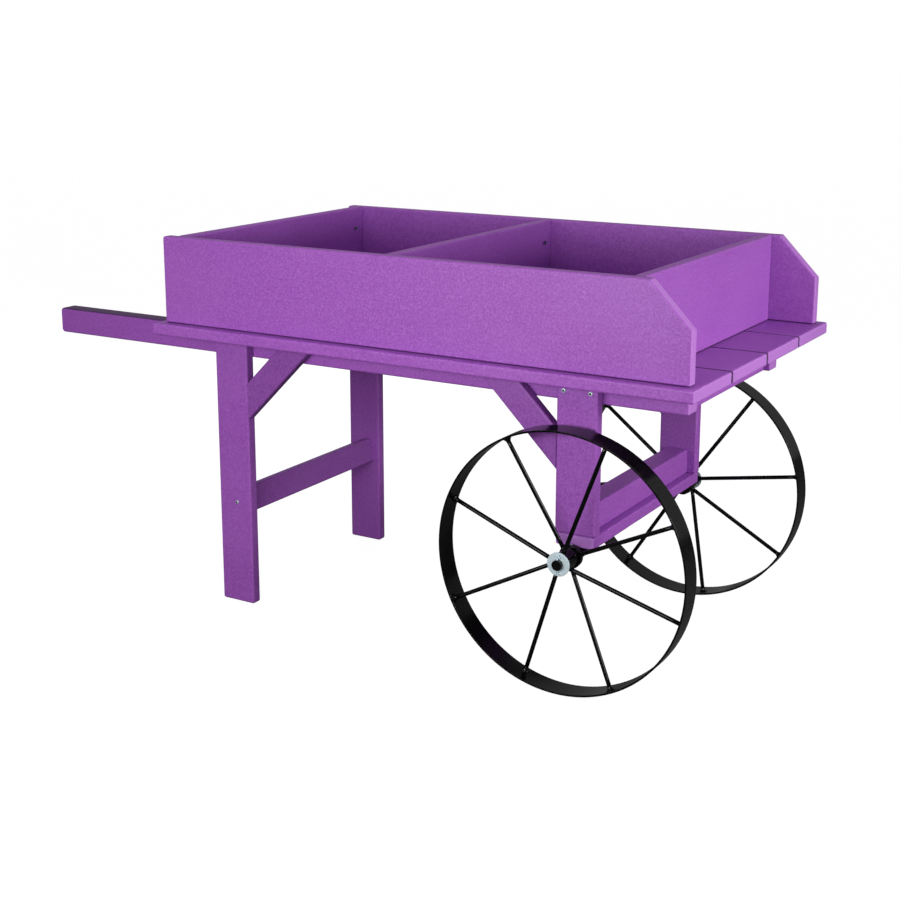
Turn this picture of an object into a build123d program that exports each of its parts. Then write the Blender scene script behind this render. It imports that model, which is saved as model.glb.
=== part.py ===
from build123d import *
import os
from math import cos, radians, sin, sqrt

# A push vending cart made of recycled-plastic lumber on two steel spoked wheels.
# Frame: millimetres, +X to the front (wheel end), +Y to the cart's left, +Z up.
# The origin is on the floor, under the middle of the overall length and width.

os.makedirs("parts", exist_ok=True)

SIDES = {"left": 1, "right": -1}

# ---- lumber sections ----
board_thickness = 38.0  # every two-by board
edge_round = 6.5  # eased long edges of all lumber
corner_round = 7.5  # eased outline corners of all lumber

# ---- deck ----
deck_length = 1906.0
plank_count = 4
plank_width = 286.0
plank_gap = 8.0

# ---- box on the deck ----
box_side_setback = 34.0  # deck edge to outer face of a side board
box_rear_setback = 31.0  # deck end to the side boards' rear end
box_front_setback = 25.0  # deck end to the side boards' front end
side_board_height = 286.0  # and the height of the boards across the box
front_edge_height = 154.0  # what the corner cut leaves of the side board's front end
corner_cut_run = 127.0
rear_board_inset = 32.0  # side boards' rear end to the rear board
divider_distance = 844.0  # side boards' rear end to the divider's rear face
front_board_distance = 1658.0  # side boards' rear end to the front board's rear face

# ---- chassis ----
rail_length = 2438.0
rail_width = 64.0
rail_depth = 89.0
rail_front_setback = 96.0  # deck's front end to the rails' front end
rail_side_setback = 210.0  # deck edge to a rail's outer face
handle_round = 13.0  # top and bottom corners of the handle ends
cross_member_count = 4
cross_member_end_inset = 20.0  # rails' front end or deck's rear end to the nearest member

# ---- legs, braces and stretchers ----
leg_width = 133.0
rear_leg_setback = 188.0  # deck's rear end to the rear legs' centre line
front_leg_length = 489.0
brace_width = 89.0
brace_drop = 295.5  # deck underside to a brace's lowest point on its leg
stretcher_depth = 89.0
stretcher_height = 360.0  # its centre above the floor
stretcher_tilt = 11.0  # the rear stretcher leans back, held by one screw at each end
stretcher_offset = 16.0  # its centre, ahead of the rear legs' centre line
beam_width = 76.0
beam_depth = 84.0
axle_plate_width = 128.0

# ---- wheels and axle ----
wheel_radius = 405.0
rim_width = 76.0
rim_thickness = 6.0
rim_inset = 25.0  # side board's outer face to the rim's outer edge
axle_front_distance = 429.0  # deck's front end to the axle
axle_radius = 16.0
axle_overhang = 14.0  # axle end beyond the outer washer
running_clearance = 0.05
hub_radius = 30.0
hub_length = 71.5
hub_inset = 37.5  # side board's outer face to the hub's outer end
bushing_wall = 4.0
side_play = 0.3  # between a hub end and the washer beside it
washer_radius = 36.5
washer_thickness = 4.0
collar_radius = 35.5
collar_length = 15.5
spoke_count = 8
spoke_radius = 6.35
spoke_phase = {"left": 55.9, "right": 26.3}  # degrees from the front to the first spoke
spoke_rim_spread = 22.0  # spoke end from the middle of its pattern, at the rim
spoke_rim_shift = 3.5  # pattern's middle outboard of the rim's middle
spoke_hub_spread = 26.0
spoke_hub_shift = 2.5  # pattern's middle outboard of the hub's middle
weld_radius = 12.0
weld_height = 10.0
pin_radius = 2.4
pin_hole_clearance = 0.2
pin_eye_radius = 5.0
pin_leg_radius = 1.6
pin_inset = 7.0  # axle end to the cotter pin

# ---- axle fastening ----
seat_thickness = 6.0
seat_width = 84.0
seat_length = 90.0
strap_thickness = 5.0
strap_width = 40.0
strap_clearance = 0.1
strap_flange = 24.0

# ---- screws ----
hole_clearance = 0.2
screw_radius = 3.0
screw_head_radius = 6.5
screw_head_height = 3.5
lag_radius = 4.0
lag_head_radius = 7.0
lag_head_height = 5.0
leg_head_radius = 7.5
front_leg_screw_drop = 51.0  # deck underside to the screws
rear_leg_screw_drop = 30.0
leg_screw_spacing = 87.0
leg_screw_bite = 22.0  # how far a leg or brace screw enters the rail
brace_screw_drop = 22.0
brace_screw_spacing = 50.0
member_screw_drop = 19.0
member_screw_spacing = 22.0
member_screw_sink = 26.0
deck_screw_bite = 28.0
pocket_angle = 20.0
pocket_radius = 7.0
pocket_depth = 30.0  # board end to the shoulder under the screw head
pocket_bite = 26.0
pocket_margin = 79.0  # side board's top edge, or the deck, to a pocket

# ---- derived places ----
deck_width = plank_count * plank_width + (plank_count - 1) * plank_gap
half_width = deck_width / 2
deck_front = (rail_length + rail_front_setback) / 2
deck_rear = deck_front - deck_length
box_half = half_width - box_side_setback
box_rear = deck_rear + box_rear_setback
box_front = deck_front - box_front_setback
cross_board_length = 2 * (box_half - board_thickness)

axle_x = deck_front - axle_front_distance
axle_z = wheel_radius
plate_bottom = axle_z + axle_radius + seat_thickness
plate_top = plate_bottom + board_thickness
deck_bottom = plate_top + front_leg_length
deck_top = deck_bottom + board_thickness
rail_bottom = deck_bottom - rail_depth
rail_front = deck_front - rail_front_setback
rail_outer = half_width - rail_side_setback
rail_inner = rail_outer - rail_width
rail_middle = (rail_outer + rail_inner) / 2
leg_outer = rail_outer + board_thickness
rear_leg_x = deck_rear + rear_leg_setback
stretcher_x = rear_leg_x + stretcher_offset

member_first = deck_rear + cross_member_end_inset + board_thickness / 2
member_last = rail_front - cross_member_end_inset - board_thickness / 2
member_pitch = (member_last - member_first) / (cross_member_count - 1)
member_places = [member_first + i * member_pitch for i in range(cross_member_count)]

rim_outer = box_half - rim_inset
rim_middle = rim_outer - rim_width / 2
rim_bore = wheel_radius - rim_thickness
hub_outer = box_half - hub_inset
hub_inner = hub_outer - hub_length
hub_middle = (hub_outer + hub_inner) / 2
bushing_radius = axle_radius + running_clearance + bushing_wall
washer_inner = hub_outer + side_play
axle_end = washer_inner + washer_thickness + axle_overhang
inner_washer_outer = hub_inner - side_play
collar_outer = inner_washer_outer - washer_thickness
seat_middle = leg_outer - seat_length / 2 - 2


def save(piece, label):
    """Label a finished piece and write its file."""
    piece.part.label = label
    export_step(piece.part, f"parts/{label}.step")


def along_y(side, y, x=0.0, z=0.0):
    """A plane across the cart at distance y to one side, facing away from the middle."""
    return Plane(origin=(x, side * y, z), x_dir=(1, 0, 0), z_dir=(0, side, 0))


def from_below(x, y, z):
    """A plane facing down at the given point, for a hole or a screw driven upwards."""
    return Plane(origin=(x, y, z), x_dir=(1, 0, 0), z_dir=(0, 0, -1))


def drill(planes, radius, depth):
    """Plain holes that start on each plane and run against its normal."""
    with Locations(*planes):
        Hole(radius, depth)


def drill_seat(planes, radius, seat_radius, seat_depth, depth):
    """Holes with a recess for the screw head."""
    with Locations(*planes):
        CounterBoreHole(radius, seat_radius, seat_depth, depth)


def ease(piece, axis, radius=edge_round):
    """Round the rims of the two broad faces that look along an axis."""
    broad = piece.faces().filter_by(axis).sort_by(SortBy.AREA)[-2:]
    fillet(broad.edges(), radius)


def lift(planes, distance):
    """The same planes moved along their normals."""
    return [plane.offset(distance) for plane in planes]


def make_screws(label, seats, radius, head_radius, head_height, length):
    """A group of equal screws, each with the underside of its head on its seat."""
    with BuildPart() as group:
        with Locations(*seats):
            Cylinder(radius, length, align=(Align.CENTER, Align.CENTER, Align.MAX))
            Cylinder(head_radius, head_height, align=(Align.CENTER, Align.CENTER, Align.MIN))
    save(group, label)


# ---- screw positions, shared by the holes and the screws ----
recess = screw_head_height + 1.5
seat_radius = screw_head_radius + 1.0
pilot_radius = screw_radius + hole_clearance


def leg_seats(side, leg_x):
    """Two screws through a leg's head into the rail, higher on a rear leg."""
    half = leg_screw_spacing / 2
    z = deck_bottom - (rear_leg_screw_drop if leg_x == rear_leg_x else front_leg_screw_drop)
    return [along_y(side, leg_outer, leg_x + step, z) for step in (-half, half)]


def brace_seats(side, leg_face, way):
    """Two screws side by side through a brace's head into the rail, close under the deck."""
    z = deck_bottom - brace_screw_drop
    middle = leg_face + way * (brace_drop - brace_screw_drop - brace_width / sqrt(2))
    half = brace_screw_spacing / 2
    return [along_y(side, leg_outer, middle + step, z) for step in (-half, half)]


def member_seats(side, x):
    """Two screws through a rail into a cross member's end, sunk in deep recesses near its top."""
    heights = [deck_bottom - member_screw_drop, deck_bottom - member_screw_drop - member_screw_spacing]
    return [along_y(side, rail_outer - member_screw_sink, x, z) for z in heights]


def rail_deck_seats(side):
    """Screws up through a rail into the outer plank, two in each bay."""
    places = []
    for place in member_places[:-1]:
        places.append(place + member_pitch / 3)
        places.append(place + member_pitch * 2 / 3)
    y = side * (rail_middle - 8.0)
    return [from_below(x, y, rail_bottom + rail_depth / 2) for x in places]


def member_deck_seats(x):
    """Screws up through a cross member into the two inner planks."""
    pitch = plank_width + plank_gap
    seats = []
    for side in SIDES.values():
        for step in (-plank_width * 0.3, plank_width * 0.3):
            seats.append(from_below(x, side * pitch / 2 + step, rail_bottom + rail_depth / 2))
    return seats


def side_board_seats(side):
    """Screws up through the outer plank into a side board."""
    count = 5
    inset = 120.0
    pitch = (box_front - box_rear - 2 * inset) / (count - 1)
    y = side * (box_half - board_thickness / 2)
    return [from_below(box_rear + inset + i * pitch, y, deck_bottom + recess) for i in range(count)]


def pocket_ends(x, face):
    """Where the angled screws leave a cross board's ends; the normals point to the pocket mouths.

    x is the board's middle and face is +1 or -1, the way its pocketed face looks along X.
    """
    heights = [deck_top + pocket_margin, deck_top + side_board_height - pocket_margin]
    lean = radians(pocket_angle)
    planes = []
    for side in SIDES.values():
        for z in heights:
            origin = (x, side * (box_half - board_thickness), z)
            planes.append(Plane(origin=origin, x_dir=(0, 0, 1), z_dir=(face * sin(lean), -side * cos(lean), 0)))
    return planes


def stretcher_seats(side):
    """One screw through a rear leg into the rear stretcher's end."""
    return [along_y(side, leg_outer, (rear_leg_x + stretcher_x) / 2, stretcher_height)]


def plate_beam_seats():
    """Screws up through the axle plate into the front beam."""
    spread = rail_outer * 0.75
    steps = (-spread, -spread / 3, spread / 3, spread)
    return [from_below(axle_x, y, plate_bottom + recess) for y in steps]


def plate_leg_seats(side):
    """Two screws up through the axle plate into a front leg's end."""
    y = side * (leg_outer + rail_outer) / 2
    return [from_below(axle_x + step, y, plate_bottom + recess) for step in (-50.0, 50.0)]


def strap_seats(side):
    """Four lag screws up through a strap's flanges and the seat into the axle plate."""
    reach = axle_radius + strap_clearance + strap_thickness + strap_flange / 2 - 2
    z = axle_z + axle_radius - strap_thickness
    seats = []
    for step_x in (-reach, reach):
        for step_y in (-10.0, 10.0):
            seats.append(from_below(axle_x + step_x, side * seat_middle + step_y, z))
    return seats


cross_boards = {
    "rear_board": (box_rear + rear_board_inset + board_thickness / 2, 1),
    "divider_board": (box_rear + divider_distance + board_thickness / 2, 1),
    "front_board": (box_rear + front_board_distance + board_thickness / 2, -1),
}

# ---- deck planks ----
for number in range(plank_count):
    plank_y = (number - (plank_count - 1) / 2) * (plank_width + plank_gap)
    outermost = {0: -1, plank_count - 1: 1}.get(number)
    with BuildPart() as plank:
        with BuildSketch(Plane.XY.offset(deck_bottom)):
            with Locations(((deck_front + deck_rear) / 2, plank_y)):
                RectangleRounded(deck_length, plank_width, corner_round)
        extrude(amount=board_thickness)
        ease(plank, Axis.Z)
        if outermost:
            pilots = [Plane(origin=(s.origin.X, s.origin.Y, deck_bottom), z_dir=(0, 0, -1))
                      for s in rail_deck_seats(outermost)]
            drill(pilots, pilot_radius, deck_screw_bite)
            drill_seat(lift(side_board_seats(outermost), recess), pilot_radius, seat_radius, recess,
                       board_thickness + 1)
        else:
            for member_x in member_places:
                pilots = [Plane(origin=(s.origin.X, s.origin.Y, deck_bottom), z_dir=(0, 0, -1))
                          for s in member_deck_seats(member_x)
                          if abs(s.origin.Y - plank_y) < plank_width / 2]
                drill(pilots, pilot_radius, deck_screw_bite)
    save(plank, f"deck_plank_{number + 1}")

# ---- side boards ----
side_screw_bite = 50.0
for name, side in SIDES.items():
    with BuildPart() as side_board:
        with BuildSketch(along_y(side, box_half - board_thickness)) as outline:
            with BuildLine():
                # the plane's own second axis points down on the left side, up on the right
                up = -side
                Polyline(
                    (box_rear, up * deck_top),
                    (box_front, up * deck_top),
                    (box_front, up * (deck_top + front_edge_height)),
                    (box_front - corner_cut_run, up * (deck_top + side_board_height)),
                    (box_rear, up * (deck_top + side_board_height)),
                    close=True,
                )
            make_face()
            fillet(outline.vertices(), corner_round)
        extrude(amount=board_thickness)
        ease(side_board, Axis.Y)
        pilots = [Plane(origin=(s.origin.X, s.origin.Y, deck_top), z_dir=(0, 0, -1)) for s in side_board_seats(side)]
        drill(pilots, pilot_radius, side_screw_bite)
        for board_x, face in cross_boards.values():
            ends = [plane for plane in pocket_ends(board_x, face) if plane.origin.Y * side > 0]
            drill(ends, pilot_radius, pocket_bite + 2)
    save(side_board, f"side_board_{name}")

# ---- cross boards between the side boards ----
for name, (board_x, face) in cross_boards.items():
    with BuildPart() as cross_board:
        with BuildSketch(Plane.YZ.offset(board_x - board_thickness / 2)):
            with Locations((0, deck_top + side_board_height / 2)):
                RectangleRounded(cross_board_length, side_board_height, corner_round)
        extrude(amount=board_thickness)
        ease(cross_board, Axis.X)
        drill(lift(pocket_ends(board_x, face), 120.0), pocket_radius, 120.0 - pocket_depth)
        drill(lift(pocket_ends(board_x, face), 60.0), pilot_radius, 62.0)
    save(cross_board, name)

# ---- rails, whose rear ends are the push handles ----
for name, side in SIDES.items():
    with BuildPart() as rail:
        with BuildSketch(along_y(side, rail_inner)) as outline:
            up = -side
            with Locations((rail_front - rail_length / 2, up * (deck_bottom - rail_depth / 2))):
                Rectangle(rail_length, rail_depth)
            fillet(outline.vertices().group_by(Axis.X)[0], handle_round)
            fillet(outline.vertices().group_by(Axis.X)[-1], corner_round)
        extrude(amount=rail_width)
        ease(rail, Axis.Y)
        for leg_x in (rear_leg_x, axle_x):
            inner_seats = [along_y(side, rail_outer, s.origin.X, s.origin.Z) for s in leg_seats(side, leg_x)]
            drill(inner_seats, pilot_radius, leg_screw_bite)
        for leg_face, way in ((rear_leg_x + leg_width / 2, 1), (axle_x - leg_width / 2, -1)):
            inner_seats = [along_y(side, rail_outer, s.origin.X, s.origin.Z)
                           for s in brace_seats(side, leg_face, way)]
            drill(inner_seats, pilot_radius, leg_screw_bite)
        for member_x in member_places:
            sunk = lift(member_seats(side, member_x), member_screw_sink)
            drill_seat(sunk, pilot_radius, seat_radius, member_screw_sink, rail_width + 1)
        drill_seat(lift(rail_deck_seats(side), rail_depth / 2), pilot_radius, seat_radius, rail_depth / 2,
                   rail_depth + 1)
    save(rail, f"rail_{name}")

# ---- cross members between the rails ----
member_bite = 50.0
for number, member_x in enumerate(member_places):
    with BuildPart() as member:
        with BuildSketch(Plane.YZ.offset(member_x - board_thickness / 2)):
            with Locations((0, deck_bottom - rail_depth / 2)):
                RectangleRounded(2 * rail_inner, rail_depth, corner_round)
        extrude(amount=board_thickness)
        ease(member, Axis.X)
        for side in SIDES.values():
            ends = [along_y(side, rail_inner, s.origin.X, s.origin.Z) for s in member_seats(side, member_x)]
            drill(ends, pilot_radius, member_bite)
        drill_seat(lift(member_deck_seats(member_x), rail_depth / 2), pilot_radius, seat_radius, rail_depth / 2,
                   rail_depth + 1)
    save(member, f"cross_member_{number + 1}")

# ---- legs ----
for name, side in SIDES.items():
    for end, leg_x, foot in (("rear", rear_leg_x, 0.0), ("front", axle_x, plate_top)):
        with BuildPart() as leg:
            with BuildSketch(along_y(side, rail_outer)):
                with Locations((leg_x, -side * (foot + deck_bottom) / 2)):
                    RectangleRounded(leg_width, deck_bottom - foot, corner_round)
            extrude(amount=board_thickness)
            ease(leg, Axis.Y)
            drill(leg_seats(side, leg_x), pilot_radius, board_thickness + 1)
            if end == "rear":
                drill(stretcher_seats(side), pilot_radius, board_thickness + 1)
            else:
                pilots = [Plane(origin=(s.origin.X, s.origin.Y, plate_top), z_dir=(0, 0, -1))
                          for s in plate_leg_seats(side)]
                drill(pilots, pilot_radius, 50.0)
        save(leg, f"{end}_leg_{name}")

# ---- diagonal braces, mitred to the legs and to the deck ----
for name, side in SIDES.items():
    for end, leg_face, way in (("rear", rear_leg_x + leg_width / 2, 1), ("front", axle_x - leg_width / 2, -1)):
        foot = deck_bottom - brace_drop
        slant = brace_width * sqrt(2)
        up = -side
        with BuildPart() as brace:
            with BuildSketch(along_y(side, rail_outer)):
                with BuildLine():
                    Polyline(
                        (leg_face, up * foot),
                        (leg_face + way * brace_drop, up * deck_bottom),
                        (leg_face + way * (brace_drop - slant), up * deck_bottom),
                        (leg_face, up * (foot + slant)),
                        close=True,
                    )
                make_face()
            extrude(amount=board_thickness)
            slope = Axis((0, 0, 0), (way, 0, 1))
            fillet(brace.edges().filter_by(slope), edge_round)
            drill(brace_seats(side, leg_face, way), pilot_radius, board_thickness + 1)
        save(brace, f"{end}_brace_{name}")

# ---- rear stretcher, tilted between the rear legs ----
lean = radians(stretcher_tilt)
with BuildPart() as rear_stretcher:
    stretcher_plane = Plane(
        origin=(stretcher_x, -rail_outer, stretcher_height),
        x_dir=(cos(lean), 0, sin(lean)),
        z_dir=(0, 1, 0),
    )
    with BuildSketch(stretcher_plane):
        RectangleRounded(board_thickness, stretcher_depth, edge_round)
    extrude(amount=2 * rail_outer)
    fillet(rear_stretcher.faces().sort_by(Axis.Y)[0].edges(), edge_round / 2)
    fillet(rear_stretcher.faces().sort_by(Axis.Y)[-1].edges(), edge_round / 2)
    for side in SIDES.values():
        ends = [along_y(side, rail_outer, s.origin.X, s.origin.Z) for s in stretcher_seats(side)]
        drill(ends, pilot_radius, member_bite)
save(rear_stretcher, "rear_stretcher")

# ---- front beam on the axle plate ----
with BuildPart() as front_beam:
    with BuildSketch(Plane.YZ.offset(axle_x - beam_width / 2)):
        with Locations((0, plate_top + beam_depth / 2)):
            RectangleRounded(2 * rail_outer, beam_depth, corner_round)
    extrude(amount=beam_width)
    ease(front_beam, Axis.X)
    pilots = [Plane(origin=(s.origin.X, s.origin.Y, plate_top), z_dir=(0, 0, -1)) for s in plate_beam_seats()]
    drill(pilots, pilot_radius, 50.0)
save(front_beam, "front_beam")

# ---- axle plate under the front legs ----
with BuildPart() as axle_plate:
    with BuildSketch(Plane.XY.offset(plate_bottom)):
        with Locations((axle_x, 0)):
            RectangleRounded(axle_plate_width, 2 * leg_outer, corner_round)
    extrude(amount=board_thickness)
    ease(axle_plate, Axis.Z)
    drill_seat(lift(plate_beam_seats(), recess), pilot_radius, seat_radius, recess, board_thickness + 1)
    for side in SIDES.values():
        drill_seat(lift(plate_leg_seats(side), recess), pilot_radius, seat_radius, recess, board_thickness + 1)
        pilots = [Plane(origin=(s.origin.X, s.origin.Y, plate_bottom), z_dir=(0, 0, -1)) for s in strap_seats(side)]
        drill(pilots, lag_radius + hole_clearance, board_thickness * 0.8)
save(axle_plate, "axle_plate")

# ---- axle ----
pin_y = axle_end - pin_inset
with BuildPart() as axle:
    with BuildSketch(Plane(origin=(axle_x, -axle_end, axle_z), z_dir=(0, 1, 0))):
        Circle(axle_radius)
    extrude(amount=2 * axle_end)
    chamfer(axle.faces().filter_by(Axis.Y).edges(), 2.0)
    pin_holes = [Plane(origin=(axle_x, side * pin_y, axle_z + axle_radius + 1)) for side in SIDES.values()]
    drill(pin_holes, pin_radius + pin_hole_clearance, 2 * axle_radius + 2)
save(axle, "axle")

# ---- pieces on the axle, one set per side ----
for name, side in SIDES.items():
    with BuildPart() as seat:
        with BuildSketch(Plane.XY.offset(plate_bottom - seat_thickness)):
            with Locations((axle_x, side * seat_middle)):
                RectangleRounded(seat_width, seat_length, 4.0)
        extrude(amount=seat_thickness)
        with Locations(*[Plane(origin=(s.origin.X, s.origin.Y, plate_bottom)) for s in strap_seats(side)]):
            Hole(lag_radius + hole_clearance, seat_thickness + 1)
    save(seat, f"axle_seat_{name}")

    strap_bore = axle_radius + strap_clearance
    strap_outside = strap_bore + strap_thickness
    seat_face = axle_z + axle_radius
    with BuildPart() as strap:
        with BuildSketch(Plane(origin=(axle_x, side * seat_middle - strap_width / 2, axle_z), x_dir=(-1, 0, 0),
                               z_dir=(0, 1, 0))):
            Circle(strap_outside)
            with Locations((0, axle_radius / 2)):
                Rectangle(2 * strap_outside, axle_radius)
            with Locations((0, axle_radius - strap_thickness / 2)):
                Rectangle(2 * (strap_outside + strap_flange), strap_thickness)
            Circle(strap_bore, mode=Mode.SUBTRACT)
            with Locations((0, strap_outside / 2)):
                Rectangle(2 * strap_bore, strap_outside, mode=Mode.SUBTRACT)
            with Locations((0, axle_radius + strap_outside / 2)):
                Rectangle(2 * strap_outside, strap_outside, mode=Mode.SUBTRACT)
        extrude(amount=strap_width)
        with Locations(*[Plane(origin=(s.origin.X, s.origin.Y, seat_face)) for s in strap_seats(side)]):
            Hole(lag_radius + hole_clearance, strap_thickness + 1)
    save(strap, f"axle_strap_{name}")

    with BuildPart() as outer_washer:
        with BuildSketch(along_y(side, washer_inner, axle_x, axle_z)):
            Circle(washer_radius)
            Circle(axle_radius + strap_clearance, mode=Mode.SUBTRACT)
        extrude(amount=washer_thickness)
        fillet(outer_washer.edges().filter_by(GeomType.CIRCLE).sort_by(SortBy.RADIUS)[-2:], 0.8)
    save(outer_washer, f"outer_washer_{name}")

    with BuildPart() as inner_washer:
        with BuildSketch(along_y(side, inner_washer_outer - washer_thickness, axle_x, axle_z)):
            Circle(washer_radius)
            Circle(axle_radius + strap_clearance, mode=Mode.SUBTRACT)
        extrude(amount=washer_thickness)
        fillet(inner_washer.edges().filter_by(GeomType.CIRCLE).sort_by(SortBy.RADIUS)[-2:], 0.8)
    save(inner_washer, f"inner_washer_{name}")

    with BuildPart() as collar:
        with BuildSketch(along_y(side, collar_outer - collar_length, axle_x, axle_z)):
            Circle(collar_radius)
            Circle(axle_radius + strap_clearance, mode=Mode.SUBTRACT)
        extrude(amount=collar_length)
        chamfer(collar.edges().filter_by(GeomType.CIRCLE).sort_by(SortBy.RADIUS)[-2:], 1.5)
        set_screw_y = side * (collar_outer - collar_length / 2)
        with Locations(Plane(origin=(axle_x, set_screw_y, axle_z + collar_radius))):
            Hole(screw_radius + hole_clearance, collar_radius - axle_radius)
    save(collar, f"shaft_collar_{name}")

    with BuildPart() as cotter:
        middle = (axle_x, side * pin_y, axle_z)
        pin_top = axle_radius + 3.0
        with Locations(Plane(origin=(axle_x, side * pin_y, axle_z + pin_top))):
            Cylinder(pin_radius, 2 * pin_top, align=(Align.CENTER, Align.CENTER, Align.MAX))
        with Locations(Plane(origin=(axle_x, side * pin_y, axle_z + pin_top + pin_eye_radius),
                             z_dir=(0, 1, 0))):
            Torus(pin_eye_radius, pin_leg_radius)
        for spread in (-1, 1):
            splay = radians(14)
            with Locations(Plane(origin=(axle_x, side * pin_y, axle_z - pin_top + 1.0),
                                 z_dir=(spread * sin(splay), 0, -cos(splay)))):
                Cylinder(pin_leg_radius, 18.0, align=(Align.CENTER, Align.CENTER, Align.MIN))
    save(cotter, f"cotter_pin_{name}")

set_screw_length = collar_radius - axle_radius
set_screw_seats = [
    Plane(origin=(axle_x, side * (collar_outer - collar_length / 2), axle_z + collar_radius))
    for side in SIDES.values()
]
with BuildPart() as set_screws:
    with Locations(*set_screw_seats):
        Cylinder(screw_radius, set_screw_length, align=(Align.CENTER, Align.CENTER, Align.MAX))
save(set_screws, "collar_screws")

# ---- wheels ----
for name, side in SIDES.items():
    with BuildPart() as rim:
        with BuildSketch(along_y(side, rim_outer - rim_width, axle_x, axle_z)):
            Circle(wheel_radius)
            Circle(rim_bore, mode=Mode.SUBTRACT)
        extrude(amount=rim_width)
        fillet(rim.edges().filter_by(GeomType.CIRCLE), 1.0)
    save(rim, f"rim_{name}")

    with BuildPart() as hub:
        with BuildSketch(along_y(side, hub_inner, axle_x, axle_z)):
            Circle(hub_radius)
            Circle(bushing_radius, mode=Mode.SUBTRACT)
        extrude(amount=hub_length)
        chamfer(hub.edges().filter_by(GeomType.CIRCLE).sort_by(SortBy.RADIUS)[-2:], 1.5)
    save(hub, f"hub_{name}")

    with BuildPart() as bushing:
        with BuildSketch(along_y(side, hub_inner, axle_x, axle_z)):
            Circle(bushing_radius)
            Circle(axle_radius + running_clearance, mode=Mode.SUBTRACT)
        extrude(amount=hub_length)
    save(bushing, f"bushing_{name}")

    with BuildPart() as spokes:
        for number in range(spoke_count):
            # even spokes run from the hub's inner end to the rim's outer edge, odd ones cross back
            way = 1 if number % 2 == 0 else -1
            turn = radians(spoke_phase[name] + number * 360 / spoke_count)
            radial = Vector(cos(turn), 0, sin(turn))
            rim_y = side * (rim_middle + spoke_rim_shift + way * spoke_rim_spread)
            hub_y = side * (hub_middle + spoke_hub_shift - way * spoke_hub_spread)
            start = Vector(axle_x, hub_y, axle_z) + radial * (hub_radius - 4)
            finish = Vector(axle_x, rim_y, axle_z) + radial * (rim_bore + 4)
            run = finish - start
            with BuildSketch(Plane(origin=start, x_dir=radial.cross(Vector(0, 1, 0)), z_dir=run)):
                Circle(spoke_radius)
            extrude(amount=run.length)
            with BuildSketch(Plane(origin=finish, x_dir=radial.cross(Vector(0, 1, 0)), z_dir=-run)):
                Circle(weld_radius)
            extrude(amount=weld_height + 4, taper=25)
        # trim the ends to the rim's inside and to the hub
        with BuildSketch(along_y(side, rim_outer - rim_width - 20, axle_x, axle_z)):
            Circle(rim_bore)
            Circle(hub_radius, mode=Mode.SUBTRACT)
        extrude(amount=rim_width + 40, mode=Mode.INTERSECT)
    save(spokes, f"spokes_{name}")

# ---- screws ----
both = list(SIDES.values())
make_screws(
    "leg_screws",
    [s for side in both for leg_x in (rear_leg_x, axle_x) for s in leg_seats(side, leg_x)],
    screw_radius, leg_head_radius, screw_head_height, board_thickness + leg_screw_bite - 1,
)
make_screws(
    "brace_screws",
    [s for side in both for face, way in ((rear_leg_x + leg_width / 2, 1), (axle_x - leg_width / 2, -1))
     for s in brace_seats(side, face, way)],
    screw_radius, screw_head_radius, screw_head_height, board_thickness + leg_screw_bite - 1,
)
make_screws(
    "cross_member_screws",
    [s for side in both for x in member_places for s in member_seats(side, x)],
    screw_radius, screw_head_radius, screw_head_height, rail_width - member_screw_sink + member_bite - 1,
)
make_screws(
    "deck_screws",
    [s for side in both for s in rail_deck_seats(side)] + [s for x in member_places for s in member_deck_seats(x)],
    screw_radius, screw_head_radius, screw_head_height, rail_depth / 2 + deck_screw_bite - 1,
)
make_screws(
    "side_board_screws",
    [s for side in both for s in side_board_seats(side)],
    screw_radius, screw_head_radius, screw_head_height, board_thickness - recess + side_screw_bite - 1,
)
make_screws(
    "pocket_screws",
    [s for x, face in cross_boards.values() for s in lift(pocket_ends(x, face), pocket_depth)],
    screw_radius - 0.5, pocket_radius - 1.0, screw_head_height, pocket_depth + pocket_bite,
)
make_screws(
    "stretcher_screws",
    [s for side in both for s in stretcher_seats(side)],
    screw_radius, screw_head_radius, screw_head_height, board_thickness + member_bite - 1,
)
make_screws(
    "plate_screws",
    plate_beam_seats() + [s for side in both for s in plate_leg_seats(side)],
    screw_radius, screw_head_radius, screw_head_height, board_thickness - recess + 49,
)
make_screws(
    "strap_screws",
    [s for side in both for s in strap_seats(side)],
    lag_radius, lag_head_radius, lag_head_height, strap_thickness + seat_thickness + board_thickness * 0.8 - 1,
)
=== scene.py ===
import math

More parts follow.
